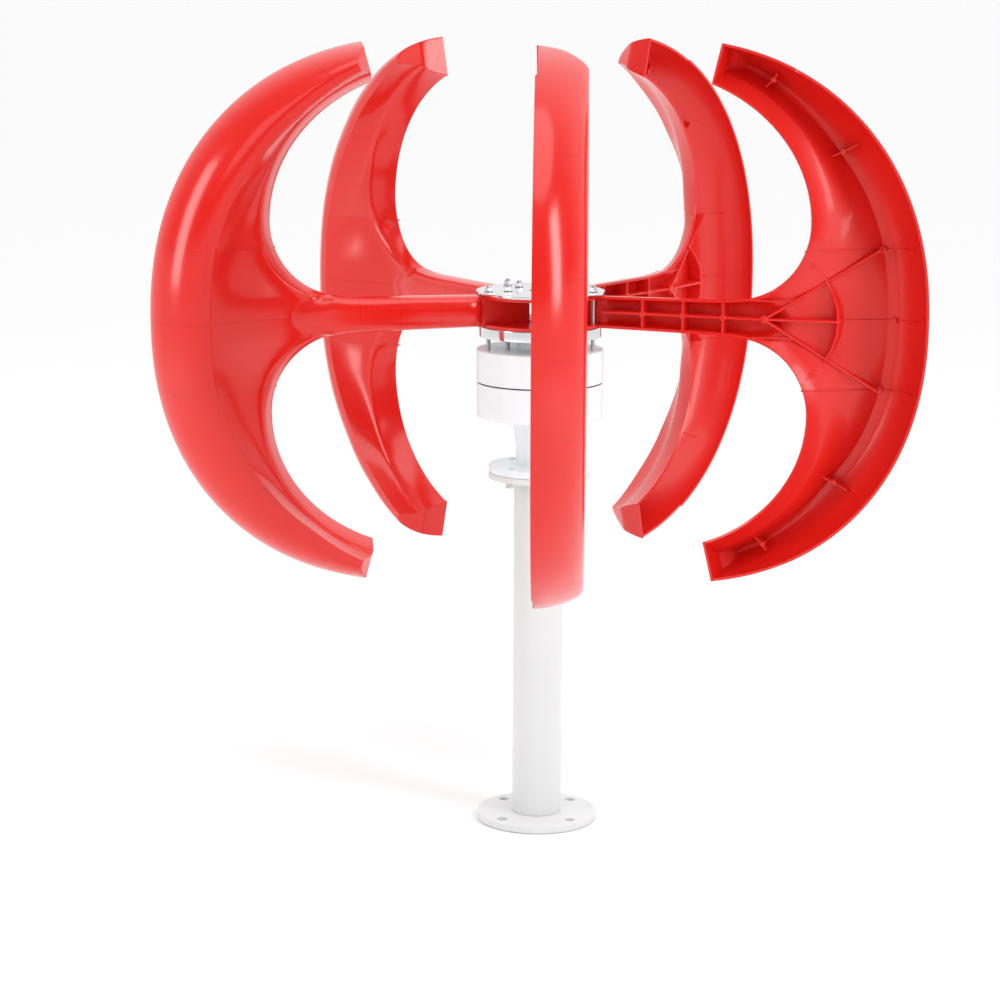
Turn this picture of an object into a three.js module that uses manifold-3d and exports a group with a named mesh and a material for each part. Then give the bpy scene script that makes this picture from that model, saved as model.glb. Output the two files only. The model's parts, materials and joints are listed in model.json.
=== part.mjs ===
// Small vertical-axis wind turbine on a short mast. Millimetres, +Z up, origin at the
// centre of the mast foot's underside. Five moulded blades stand around a hub that turns
// on the generator's shaft; the generator's lower housing is bolted to the mast.
import * as THREE from 'three';
import { mergeVertices } from 'three/addons/utils/BufferGeometryUtils.js';
import Module from 'manifold-3d';

const wasm = await Module();
wasm.setup();

const DEG = Math.PI / 180;
const GAP = 0.3; // clearance between pieces that touch
const ROUND = 36; // facets of the large turned pieces

// Rotor
const MID = 600; // height of the rotor's middle above the mast foot
const BLADES = 5;
const FIRST_BLADE = -90 * DEG;
const TIP_HEIGHT = 300; // from the rotor's middle to a blade tip
const WALL = 3; // moulded wall of a blade
const OPEN_T = -4; // plane of the blade's open side
const DEEP_T = 51; // depth of the bottom strip of the trough

// Hub, heights measured from the rotor's middle
const ROOT_Z = 18; // half height of an arm at the hub
const DISC_R = 73;
const DISC_THICK = 3;
const RING_R = 70;
const RING_THICK = 12;
const HUB_BOLT_RADII = [39, 62];
const HUB_BOLT_T = 2.5;
const HUB_BOLT_R = 2.5;

// Generator, heights measured from the rotor's middle
const CAP_R = 72.5;
const CAP_TOP = -45;
const CAP_BOTTOM = -82;
const CASE_TOP = -83.6;
const CASE_BOTTOM = -123.6;
const CASE_R = 72;
const FLANGE_TOP = -179;
const FLANGE_THICK = 8;
const FLANGE_R = 58;
const MAST_FLANGE_THICK = 7;
const FLANGE_BOLT_RING = 44;
const SHAFT_R = 8.2;
const BEARING = { bore: 8.5, inner: 11.4, outer: 14.4, outside: 17.5, width: 10 };
const UPPER_BEARING = -72;
const LOWER_BEARING = -160;

// Mast
const MAST_R = 28.5;
const MAST_WALL = 3;
const FOOT_R = 70;
const FOOT_THICK = 8;

// ---------------------------------------------------------------- solids

function solid(geometry) {
  const bare = geometry.clone();
  bare.deleteAttribute('normal');
  bare.deleteAttribute('uv');
  const merged = mergeVertices(bare, 1e-4);
  const mesh = new wasm.Mesh({
    numProp: 3,
    vertProperties: Float32Array.from(merged.getAttribute('position').array),
    triVerts: Uint32Array.from(merged.getIndex().array),
  });
  return new wasm.Manifold(mesh);
}

function geometryOf(body) {
  const mesh = body.getMesh();
  const geometry = new THREE.BufferGeometry();
  geometry.setAttribute('position', new THREE.BufferAttribute(mesh.vertProperties, 3));
  geometry.setIndex(new THREE.BufferAttribute(mesh.triVerts, 1));
  geometry.computeVertexNormals();
  return geometry;
}

function join(bodies) {
  return bodies.reduce((all, body) => all.add(body));
}

function cut(body, tools) {
  return tools.reduce((rest, tool) => rest.subtract(tool), body);
}

// The outermost skin alone, so that no pocket stays sealed inside.
function filled(body) {
  const skins = body.decompose();
  return skins.reduce((best, skin) => (skin.volume() > best.volume() ? skin : best));
}

// Upright cylinder between two heights.
function rod(radius, low, high, sides = 12, x = 0, y = 0) {
  const cylinder = new THREE.CylinderGeometry(radius, radius, high - low, sides);
  cylinder.rotateX(Math.PI / 2);
  cylinder.translate(x, y, (low + high) / 2);
  return solid(cylinder);
}

function block(x0, x1, y0, y1, z0, z1) {
  const box = new THREE.BoxGeometry(x1 - x0, y1 - y0, z1 - z0);
  box.translate((x0 + x1) / 2, (y0 + y1) / 2, (z0 + z1) / 2);
  return solid(box);
}

// Body of revolution about Z from a closed (radius, height) outline.
function turned(outline, sides = ROUND) {
  const points = outline.map(([r, z]) => new THREE.Vector2(r, z));
  points.push(points[0].clone());
  const lathe = new THREE.LatheGeometry(points, sides);
  lathe.rotateX(Math.PI / 2);
  return solid(lathe);
}

function ring(inner, outer, low, high, sides = ROUND) {
  return turned([[inner, low], [outer, low], [outer, high], [inner, high]], sides);
}

// Hexagonal bolt, head underside at z = 0, pointing up (sign 1) or down (sign -1).
function hexBolt(shank, length, acrossFlats, headHeight, sign, tip = 0) {
  const corner = acrossFlats / Math.sqrt(3);
  const span = (a, b) => [Math.min(sign * a, sign * b), Math.max(sign * a, sign * b)];
  return join([
    rod(shank, ...span(-headHeight - 1 - tip, length), 8),
    rod(acrossFlats * 0.62, ...span(-1, 0), 12),
    rod(corner, ...span(-headHeight - 1, -0.5), 6),
  ]);
}

// ---------------------------------------------------------------- blade shape
// A blade is drawn in its own axes: r away from the turbine's axis, t toward the
// smooth side, z up from the rotor's middle. Both halves mirror each other in z.

// Edge of the crescent that faces the hub: down the arm's end, round the fillet, up the horn.
function innerEdge() {
  const path = new THREE.Path();
  const fillet = { r: 226, z: 106, radius: 85 };
  const start = -Math.acos((245 - fillet.r) / fillet.radius);
  path.moveTo(245, 0);
  path.lineTo(245, fillet.z + fillet.radius * Math.sin(start));
  path.absarc(fillet.r, fillet.z, fillet.radius, start, 0, false);
  path.absellipse(120, fillet.z, 191, 163, 0, 66.5 * DEG, false);
  return path;
}

// Outer edge: a quarter of a superellipse, a little squarer than a circle.
function outerEdge() {
  const points = [];
  for (let i = 0; i <= 60; i++) {
    const angle = (i / 60) * 79.1 * DEG;
    const r = 140 + 304 * Math.cos(angle) ** 0.909;
    points.push(new THREE.Vector2(r, 305 * Math.sin(angle) ** 0.909));
  }
  return new THREE.SplineCurve(points);
}

const INNER = innerEdge();
const OUTER = outerEdge();

// Values that change along a half crescent, each as a smooth line through a few stations.
function along(stations) {
  return (q) => {
    let i = 0;
    while (i < stations.length - 2 && q > stations[i + 1][0]) {
      i += 1;
    }
    const [q0, a] = stations[i];
    const [q1, b] = stations[i + 1];
    return a + (b - a) * THREE.MathUtils.clamp((q - q0) / (q1 - q0), 0, 1);
  };
}

const innerShare = along([[0, 0], [0.06, 0.062], [0.19, 0.311], [0.52, 0.59], [1, 1]]);
const stripInset = along([[0, 51], [0.52, 51], [0.74, 41], [0.943, 24], [1, 22]]);
const stripWidth = along([[0, 10], [0.8, 9], [1, 6]]);
const edgeT = along([[0, 8], [0.05, 8], [0.12, OPEN_T + 2], [1, OPEN_T + 2]]);
const creaseT = along([[0, 11], [0.06, 11], [0.19, 27], [1, 27]]);
const creaseInset = along([[0, 18], [0.6, 17], [1, 13]]);
const endCap = along([[0, DEEP_T], [0.943, DEEP_T], [0.988, 26], [1, OPEN_T + 1]]);

// One station: its two edge points and the (distance, t) outline across it.
function station(q) {
  const a = INNER.getPointAt(innerShare(q));
  const b = OUTER.getPointAt(q);
  const width = a.distanceTo(b);
  const inset = stripInset(q);
  const half = stripWidth(q) / 2;
  const crease = creaseInset(q);
  const cap = endCap(q);
  const foot = width - inset - half;
  const plate = (share) => creaseT(q) + (DEEP_T - creaseT(q)) * share ** 1.3;
  const outline = [
    [0, edgeT(q)],
    [crease * 0.4, edgeT(q) + (creaseT(q) - edgeT(q)) * 0.62],
    [crease, creaseT(q)],
    [crease + (foot - crease) * 0.5, plate(0.5)],
    [foot, DEEP_T],
    [width - inset + half, DEEP_T],
    [width - inset * 0.3, 32],
    [width, OPEN_T],
  ];
  const ends = outline.map(([d, t]) => [d / width, Math.min(t, cap)]);
  return { a, b, ends };
}

const ACROSS = 7; // facets across the trough

function crescentPoint(u, v) {
  const s = 2 * u - 1;
  const { a, b, ends } = station(Math.min(Math.abs(s), 1));
  const at = v * ACROSS;
  const i = Math.min(Math.floor(at + 1e-6), ACROSS - 1);
  const f = at - i;
  const x = ends[i][0] * (1 - f) + ends[i + 1][0] * f;
  const t = ends[i][1] * (1 - f) + ends[i + 1][1] * f;
  const sign = s < 0 ? -1 : 1;
  return new THREE.Vector3(a.x + (b.x - a.x) * x, t, sign * (a.y + (b.y - a.y) * x));
}

function armTop(r) {
  const rise = THREE.MathUtils.clamp((r - 72) / 18, 0, 1);
  const fall = THREE.MathUtils.clamp((r - 262) / 25, 0, 1);
  return 11 + 7 * Math.sqrt(1 - (1 - rise) ** 2) - 8 * (1 - Math.sqrt(1 - fall * fall));
}

// Half-round arm, closed down to the flat root web at the hub and domed at its outer end.
function armPoint(u, v) {
  const r = 70 + 216 * v;
  const top = armTop(r);
  const half = 18 + 2.5 * v;
  const a = (u - 0.5) * Math.PI;
  const z = half * Math.sign(Math.sin(a)) * Math.abs(Math.sin(a)) ** 0.6;
  return new THREE.Vector3(r, OPEN_T + (top - OPEN_T) * Math.abs(Math.cos(a)) ** 0.6, z);
}

// Bend a flat slab into a moulded shell. Its upper face takes the given surface and its
// lower face the same surface moved inward by the wall.
function shell(surface, uCuts, vCuts, wall) {
  const nu = uCuts.length - 1;
  const nv = vCuts.length - 1;
  const slab = new THREE.BoxGeometry(1, 1, 1, nu, nv, 1);
  const at = slab.getAttribute('position');
  for (let i = 0; i < at.count; i++) {
    const u = uCuts[Math.round((at.getX(i) + 0.5) * nu)];
    const v = vCuts[Math.round((at.getY(i) + 0.5) * nv)];
    const point = surface(u, v);
    if (at.getZ(i) < 0) {
      point.addScaledVector(normalOf(surface, u, v), -wall);
      point.y = Math.max(point.y, OPEN_T);
    }
    at.setXYZ(i, point.x, point.y, point.z);
  }
  return solid(slab);
}

// Outward normal from neighbouring points on both sides.
function normalOf(surface, u, v) {
  const step = 0.012;
  const du = surface(Math.min(u + step, 1), v).sub(surface(Math.max(u - step, 0), v));
  const dv = surface(u, Math.min(v + step, 1)).sub(surface(u, Math.max(v - step, 0)));
  return du.cross(dv).normalize();
}

function cuts(count) {
  return Array.from({ length: count + 1 }, (_, i) => i / count);
}

function crescent() {
  const half = [0, 0.07, 0.13, 0.22, 0.4, 0.6, 0.8, 0.943, 0.988, 1];
  const lower = half.slice(1).reverse().map((q) => 0.5 - q / 2);
  const upper = half.map((q) => 0.5 + q / 2);
  return shell(crescentPoint, [...lower, ...upper], cuts(ACROSS), WALL);
}

function arm() {
  const steps = [0, 0.03, 0.09, 0.5, 0.89, 0.96, 1];
  return shell(armPoint, cuts(6), steps, WALL);
}

// Depth of the crescent's outer surface over a point of the blade's plane.
function surfaceT(r, z) {
  const spot = new THREE.Vector2(r, Math.abs(z));
  let low = 0;
  let high = 1;
  for (let i = 0; i < 24; i++) {
    const mid = (low + high) / 2;
    const { a, b } = station(mid);
    const side = (b.x - a.x) * (spot.y - a.y) - (b.y - a.y) * (spot.x - a.x);
    if (side > 0) {
      low = mid;
    } else {
      high = mid;
    }
  }
  const { a, b, ends } = station(low);
  const x = THREE.MathUtils.clamp(spot.distanceTo(a) / a.distanceTo(b), 0, 1);
  let i = 0;
  while (i < ACROSS - 1 && x > ends[i + 1][0]) {
    i += 1;
  }
  const f = (x - ends[i][0]) / (ends[i + 1][0] - ends[i][0]);
  return ends[i][1] * (1 - f) + ends[i + 1][1] * f;
}

// Straight rib on the hollow side from one (r, z) point to another. Its free edge runs
// between two depths and its foot is buried halfway in the wall.
function rib(r0, z0, t0, r1, z1, t1, thick = 2.4) {
  const length = Math.hypot(r1 - r0, z1 - z0);
  const shape = new THREE.Shape();
  shape.moveTo(0, t0);
  shape.lineTo(length, t1);
  const steps = Math.max(1, Math.round(length / 34));
  for (let i = steps; i >= 0; i--) {
    const f = i / steps;
    shape.lineTo(length * f, floorT(r0 + (r1 - r0) * f, z0 + (z1 - z0) * f) - WALL / 2);
  }
  const slab = new THREE.ExtrudeGeometry(shape, { depth: thick, bevelEnabled: false });
  slab.translate(0, 0, -thick / 2);
  slab.rotateY(-Math.atan2(z1 - z0, r1 - r0));
  slab.translate(r0, 0, z0);
  return solid(slab);
}

function floorT(r, z) {
  const onArm = r < 270 && Math.abs(z) < 19;
  return onArm ? armTop(r) : surfaceT(r, z);
}

function ribs() {
  const node = 261;
  const bow = [[312, 60, 15], [335, 33, 10], [342, 0, 8]];
  const parts = [
    rib(74, 0, -3, node, 0, -3),
    rib(node, 0, -3, 342, 0, 8),
  ];
  for (const r of [121, 168, 214]) {
    parts.push(block(r - 1.2, r + 1.2, -3, armTop(r) - 4, -17, 17));
  }
  for (const side of [-1, 1]) {
    parts.push(rib(node, 0, -3, 382, side * 78, 42));
    for (let i = 0; i < bow.length - 1; i++) {
      const [r0, z0, t0] = bow[i];
      const [r1, z1, t1] = bow[i + 1];
      parts.push(rib(r0, side * z0, t0, r1, side * z1, t1));
    }
  }
  return join(parts);
}

// Sector-shaped plate of a blade root: from this arm round to the next one.
function rootPlate(low, high) {
  const inner = 15;
  const outer = 71;
  const fromAngle = (radius) => -Math.asin(-OPEN_T / radius);
  const toAngle = (radius) => (2 * Math.PI) / BLADES - Math.asin((1 - OPEN_T) / radius);
  const shape = new THREE.Shape([
    ...arcPoints(outer, fromAngle(outer), toAngle(outer), 6),
    ...arcPoints(inner, toAngle(inner), fromAngle(inner), 2),
  ]);
  const plate = new THREE.ExtrudeGeometry(shape, { depth: high - low, bevelEnabled: false });
  plate.translate(0, 0, low);
  return solid(plate);
}

function arcPoints(radius, from, to, steps) {
  return Array.from({ length: steps + 1 }, (_, i) => {
    const angle = from + ((to - from) * i) / steps;
    return new THREE.Vector2(radius * Math.cos(angle), radius * Math.sin(angle));
  });
}

function bladeBody() {
  const web = block(16, 76, 8, 11, -ROOT_Z + 1, ROOT_Z - 1);
  const body = join([
    crescent(),
    arm(),
    ribs(),
    rootPlate(ROOT_Z - 3.5, ROOT_Z),
    rootPlate(-ROOT_Z, -ROOT_Z + 3.5),
    web,
  ]);
  const holes = HUB_BOLT_RADII.map((r) => rod(3.2, -20, 20, 8, r, HUB_BOLT_T));
  return filled(cut(body, holes));
}

// ---------------------------------------------------------------- assembly
const PAINT = {
  red: { color: '#d8261f', roughness: 0.22, metalness: 0 },
  steel: { color: '#d9dadc', roughness: 0.08, metalness: 1 },
  zinc: { color: '#b9bcc0', roughness: 0.35, metalness: 1 },
  white: { color: '#f3f3f6', roughness: 0.35, metalness: 0 },
  grey: { color: '#e4e4e4', roughness: 0.5, metalness: 0 },
  iron: { color: '#5c5f63', roughness: 0.6, metalness: 1 },
  copper: { color: '#b06a3a', roughness: 0.4, metalness: 1 },
  ferrite: { color: '#2b2b2e', roughness: 0.7, metalness: 0 },
  rubber: { color: '#161616', roughness: 0.8, metalness: 0 },
};

const turbine = new THREE.Group();
const rotor = new THREE.Group();
rotor.position.z = MID;
const fixed = new THREE.Group();
fixed.position.z = MID;
turbine.add(rotor, fixed);

function place(parent, name, body, paint) {
  const mesh = new THREE.Mesh(
    body instanceof THREE.BufferGeometry ? body : geometryOf(body),
    new THREE.MeshStandardMaterial(PAINT[paint]),
  );
  mesh.name = name;
  parent.add(mesh);
  return mesh;
}

// Spots on the rotor given in a blade's own axes.
function bladeSpots(r, t) {
  return Array.from({ length: BLADES }, (_, i) => {
    const angle = FIRST_BLADE + (i * 2 * Math.PI) / BLADES;
    return {
      x: r * Math.cos(angle) - t * Math.sin(angle),
      y: r * Math.sin(angle) + t * Math.cos(angle),
    };
  });
}

function boltHoles(radius, low, high, sides = 8) {
  const spots = HUB_BOLT_RADII.flatMap((r) => bladeSpots(r, HUB_BOLT_T));
  return spots.map(({ x, y }) => rod(radius, low, high, sides, x, y));
}

function addBlades() {
  const geometry = geometryOf(bladeBody());
  for (let i = 0; i < BLADES; i++) {
    const blade = place(rotor, `blade_${i + 1}`, geometry, 'red');
    blade.rotation.z = FIRST_BLADE + (i * 2 * Math.PI) / BLADES;
  }
}

function addHub() {
  const low = ROOT_Z + GAP;
  const disc = ring(13, DISC_R, low, low + DISC_THICK);
  place(rotor, 'hub_top_disc', cut(disc, boltHoles(3.2, low - 1, low + DISC_THICK + 1)), 'steel');
  const lower = ring(7.4, RING_R, -low - RING_THICK, -low);
  place(rotor, 'hub_lower_disc', cut(lower, boltHoles(3.2, -low - 14, -low + 1)), 'steel');
  const headSeat = low + DISC_THICK + GAP;
  HUB_BOLT_RADII.forEach((r, ringIndex) => {
    bladeSpots(r, HUB_BOLT_T).forEach(({ x, y }, i) => {
      const bolt = hexBolt(HUB_BOLT_R, headSeat + 53, 8, 4, -1, 2.2);
      const name = `hub_bolt_${ringIndex === 0 ? 'inner' : 'outer'}_${i + 1}`;
      place(rotor, name, bolt, 'zinc').position.set(x, y, headSeat);
    });
  });
  const nut = cut(rod(21 / Math.sqrt(3), -18, -10, 6), [rod(7.4, -20, -8, 16)]);
  place(rotor, 'shaft_nut', nut, 'zinc');
}

function addRotorInside() {
  const cap = turned([
    [66, CAP_BOTTOM], [CAP_R, CAP_BOTTOM], [CAP_R, CAP_TOP - 2], [CAP_R - 2, CAP_TOP],
    [26, CAP_TOP], [26, -30.6], [8.6, -30.6], [8.6, -57], [66, -57],
  ]);
  place(rotor, 'rotor_cap', cut(cap, boltHoles(3.2, -53.5, CAP_TOP + 1)), 'white');
  const shaft = turned([[0, -170], [SHAFT_R, -170], [SHAFT_R, -30.9], [7, -30.9], [7, -6], [0, -6]], 24);
  place(rotor, 'shaft', shaft, 'zinc');
  place(rotor, 'rotor_back_iron', ring(57.8, 65.5, -80, -60, 24), 'iron');
  place(rotor, 'magnet_ring', ring(51, 57.4, -80, -60, 24), 'ferrite');
  place(rotor, 'shaft_retaining_ring', ring(8.5, 11.5, -161.7, -160.5, 16), 'zinc');
  for (const [name, z] of [['upper', UPPER_BEARING], ['lower', LOWER_BEARING]]) {
    const race = ring(BEARING.bore, BEARING.inner, z, z + BEARING.width, 16);
    place(rotor, `${name}_bearing_inner_race`, race, 'steel');
  }
}

function flangeSpots() {
  return [45, 135, 225, 315].map((a) => ({
    x: FLANGE_BOLT_RING * Math.cos(a * DEG),
    y: FLANGE_BOLT_RING * Math.sin(a * DEG),
  }));
}

function statorCase() {
  const bottom = FLANGE_TOP - FLANGE_THICK;
  const body = turned([
    [17.9, bottom], [FLANGE_R, bottom], [FLANGE_R, FLANGE_TOP], [26, FLANGE_TOP],
    [31, CASE_BOTTOM], [CASE_R - 3, CASE_BOTTOM], [CASE_R, CASE_BOTTOM + 3], [CASE_R, CASE_TOP],
    [65, CASE_TOP], [65, -117], [24, -117], [24, -60], [17.9, -60],
  ]);
  return cut(body, flangeSpots().map(({ x, y }) => rod(4.5, bottom - 1, FLANGE_TOP + 1, 12, x, y)));
}

// Laminated core: twelve teeth with slots between them.
function statorCore() {
  const corners = [];
  for (let i = 0; i < 12; i++) {
    for (const [turn, radius] of [[-9, 49.5], [9, 49.5], [9, 38], [21, 38]]) {
      const angle = (i * 30 + turn) * DEG;
      corners.push(new THREE.Vector2(radius * Math.cos(angle), radius * Math.sin(angle)));
    }
  }
  const shape = new THREE.Shape(corners);
  const hole = new THREE.Path(arcPoints(24.5, 0, 2 * Math.PI, 18).slice(0, -1));
  shape.holes.push(hole);
  const core = new THREE.ExtrudeGeometry(shape, { depth: 16, bevelEnabled: false });
  core.translate(0, 0, -79);
  return solid(core);
}

function addFixed() {
  place(fixed, 'generator_housing', statorCase(), 'white');
  place(fixed, 'stator_core', statorCore(), 'iron');
  place(fixed, 'winding_upper', ring(28, 46, -62.7, -59, 24), 'copper');
  place(fixed, 'winding_lower', ring(28, 46, -83.5, -79.3, 24), 'copper');
  place(fixed, 'gap_seal', ring(66, 71, -83.3, -82.3, 24), 'rubber');
  for (const [name, z] of [['upper', UPPER_BEARING], ['lower', LOWER_BEARING]]) {
    const race = ring(BEARING.outer, BEARING.outside, z, z + BEARING.width, 16);
    place(fixed, `${name}_bearing_outer_race`, race, 'steel');
  }
}

function addMast() {
  const top = MID + FLANGE_TOP - FLANGE_THICK - GAP;
  const under = top - MAST_FLANGE_THICK;
  const plate = ring(20, FLANGE_R, under, top);
  const holes = flangeSpots().map(({ x, y }) => rod(4.5, under - 1, top + 1, 12, x, y));
  place(turbine, 'mast_top_flange', cut(plate, holes), 'grey');
  place(turbine, 'mast_tube', ring(MAST_R - MAST_WALL, MAST_R, FOOT_THICK + GAP, under - GAP), 'grey');
  const foot = ring(20, FOOT_R, 0, FOOT_THICK);
  const anchors = flangeSpots().map(({ x, y }) => rod(6, -1, FOOT_THICK + 1, 12, x * 1.25, y * 1.25));
  place(turbine, 'mast_foot_flange', cut(foot, anchors), 'grey');
  flangeSpots().forEach(({ x, y }, i) => {
    const bolt = hexBolt(4, 13.4, 13, 5.5, 1);
    place(turbine, `flange_bolt_${i + 1}`, bolt, 'zinc').position.set(x, y, under - GAP);
  });
}

addBlades();
addHub();
addRotorInside();
addFixed();
addMast();

export default turbine;
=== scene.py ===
"""Small vertical-axis wind turbine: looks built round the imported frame, piece by piece, in metres."""

import json
import math

import bmesh
import bpy
import numpy as np
from mathutils import Matrix, Vector


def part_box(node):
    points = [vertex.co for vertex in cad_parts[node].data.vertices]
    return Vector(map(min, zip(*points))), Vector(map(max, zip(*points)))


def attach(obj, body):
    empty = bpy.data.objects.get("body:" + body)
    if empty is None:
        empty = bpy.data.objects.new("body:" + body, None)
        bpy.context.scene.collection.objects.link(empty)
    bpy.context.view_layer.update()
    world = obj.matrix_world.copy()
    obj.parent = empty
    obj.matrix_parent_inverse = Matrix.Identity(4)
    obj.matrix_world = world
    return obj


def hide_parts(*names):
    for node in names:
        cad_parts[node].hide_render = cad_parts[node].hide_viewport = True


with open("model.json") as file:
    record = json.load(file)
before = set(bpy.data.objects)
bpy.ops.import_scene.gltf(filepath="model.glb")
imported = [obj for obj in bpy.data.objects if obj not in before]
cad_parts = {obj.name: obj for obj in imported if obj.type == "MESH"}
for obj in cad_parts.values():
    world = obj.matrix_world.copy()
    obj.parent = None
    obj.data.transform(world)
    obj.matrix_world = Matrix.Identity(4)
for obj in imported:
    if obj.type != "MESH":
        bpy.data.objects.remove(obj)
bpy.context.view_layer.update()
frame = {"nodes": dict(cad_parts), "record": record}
MM = 0.001  # metres; sizes below are in millimetres where they are multiplied by it

# ---- Camera and studio
# A long lens at head height looks slightly down on the rotor. Soft boxes stand to the right, to
# the left and in front, a broad weak sun is the light off the ceiling, and the walls are white.
rotor_axis_z = frame["record"]["behaviour"]["joints"][0]["pos_m"][2]
CAMERA_AWAY = 3.0102
CAMERA_ABOVE = 0.3681
CAMERA_SIDE_TURN = math.radians(0.635)
CAMERA_PITCH = math.radians(11.083)
CAMERA_YAW = math.radians(1.486)
CAMERA_ROLL = math.radians(0.3)
LENS_MM, SENSOR_MM = 95.9, 36.0

camera_data = bpy.data.cameras.new("camera")
camera_data.sensor_width = SENSOR_MM
camera_data.lens = LENS_MM
camera_data.clip_end = 500.0
camera = bpy.data.objects.new("camera", camera_data)
bpy.context.scene.collection.objects.link(camera)
camera.location = (
    CAMERA_AWAY * math.sin(CAMERA_SIDE_TURN),
    -CAMERA_AWAY * math.cos(CAMERA_SIDE_TURN),
    rotor_axis_z + CAMERA_ABOVE,
)
heading = Matrix.Rotation(CAMERA_YAW, 4, "Z") @ Matrix.Rotation(
    math.pi / 2 - CAMERA_PITCH, 4, "X"
)
camera.rotation_mode = "QUATERNION"
camera.rotation_quaternion = (
    heading @ Matrix.Rotation(CAMERA_ROLL, 4, "Z")
).to_quaternion()
bpy.context.scene.camera = camera
bpy.context.scene.view_settings.view_transform = "Standard"


def joined(tree, kind, settings, links=None):
    """Adds one node. settings are its properties or its inputs' values, links are what feeds its
    inputs."""
    made = tree.nodes.new(kind)
    for name, value in settings.items():
        if isinstance(name, str) and hasattr(made, name):
            setattr(made, name, value)
        else:
            made.inputs[name].default_value = value
    for name, source in (links or {}).items():
        tree.links.new(source, made.inputs[name])
    return made


def soft_box(name, at, aim, width, height, power):
    """A rectangular soft box at one place, turned to face another."""
    light = bpy.data.lights.new(name, "AREA")
    light.shape = "RECTANGLE"
    light.size, light.size_y = width, height
    light.energy = power
    box = bpy.data.objects.new(name, light)
    bpy.context.scene.collection.objects.link(box)
    box.location = at
    box.rotation_mode = "QUATERNION"
    box.rotation_quaternion = (Vector(aim) - Vector(at)).to_track_quat("-Z", "Y")


rotor_middle, mast_middle = (0, 0, 0.6), (0, 0, 0.5)
soft_box("right_box", (2.4, -1.8, 1.7), rotor_middle, width=0.75, height=1.7, power=34)
soft_box("left_box", (-2.5, -1.3, 1.5), rotor_middle, width=0.8, height=1.8, power=26)
soft_box("front_fill_box", (-0.7, -3.3, 2.7), mast_middle, width=1.8, height=1.2, power=9)
sun_data = bpy.data.lights.new("ceiling_bounce", "SUN")
sun_data.energy = 1.12
sun_data.angle = math.radians(50)
sun = bpy.data.objects.new("ceiling_bounce", sun_data)
bpy.context.scene.collection.objects.link(sun)
sun.rotation_euler = (math.radians(14), math.radians(14), 0)

# The walls: white behind the turbine, dim behind the camera, with a white band at the horizon all
# round and a ceiling that brightens upwards.
world = bpy.data.worlds.new("white_studio")
bpy.context.scene.world = world
world.use_nodes = True
sky = world.node_tree
sky.nodes.clear()
way = joined(sky, "ShaderNodeTexCoord", {})
toward = joined(sky, "ShaderNodeSeparateXYZ", {}, {0: way.outputs["Generated"]})
backdrop = joined(
    sky, "ShaderNodeMapRange",
    {
        "interpolation_type": "SMOOTHSTEP", "From Min": -0.25, "From Max": 0.6,
        "To Min": 0.11, "To Max": 0.93,
    },
    {"Value": toward.outputs["Y"]},
)
horizon = joined(
    sky, "ShaderNodeMapRange", {"From Min": 0.06, "From Max": 0.2, "To Min": 0.93, "To Max": 0.0},
    {"Value": toward.outputs["Z"]},
)
walls = joined(
    sky, "ShaderNodeMath", {"operation": "MAXIMUM"},
    {0: backdrop.outputs["Result"], 1: horizon.outputs["Result"]},
)
ceiling = joined(
    sky, "ShaderNodeMapRange", {"From Min": 0.1, "From Max": 1.0, "To Min": 0.0, "To Max": 0.38},
    {"Value": toward.outputs["Z"]},
)
glow = joined(
    sky, "ShaderNodeMath", {"operation": "ADD"}, {0: walls.outputs[0], 1: ceiling.outputs["Result"]}
)
air = joined(sky, "ShaderNodeBackground", {"Color": (1, 1, 1, 1)}, {"Strength": glow.outputs[0]})
joined(sky, "ShaderNodeOutputWorld", {}, {"Surface": air.outputs[0]})


# ---- Studio floor
# A pale floor in matt paint, one flat disc that runs past the edge of the view.
# It isn't part of the turbine.
def colour(code):
    """An sRGB hex colour as linear RGBA: each channel c becomes ((c + 0.055) / 1.055) ** 2.4, or
    c / 12.92 where it is very dark."""
    channels = np.array([int(code[i : i + 2], 16) / 255 for i in (1, 3, 5)])
    linear = np.where(
        channels <= 0.04045, channels / 12.92, ((channels + 0.055) / 1.055) ** 2.4
    )
    return (*linear.tolist(), 1.0)


def material(name):
    """An empty node material, its node tree, and the object's own coordinates in it."""
    made = bpy.data.materials.new(name)
    made.use_nodes = True
    made.node_tree.nodes.clear()
    place = joined(made.node_tree, "ShaderNodeTexCoord", {})
    return made, made.node_tree, place.outputs["Object"]


def patch(points, wrap_u=False, wrap_v=False):
    """A grid of points (nu, nv, 3) as (vertices, quads): each quad joins a point to its next along
    u and v, and wrapping joins the last back to the first."""
    nu, nv = points.shape[:2]
    number = np.arange(nu * nv).reshape(nu, nv)
    if wrap_u:
        number = np.vstack([number, number[:1]])
    if wrap_v:
        number = np.hstack([number, number[:, :1]])
    quads = np.stack(
        [number[:-1, :-1], number[1:, :-1], number[1:, 1:], number[:-1, 1:]], -1
    )
    return points.reshape(-1, 3), quads.reshape(-1, 4)


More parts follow.
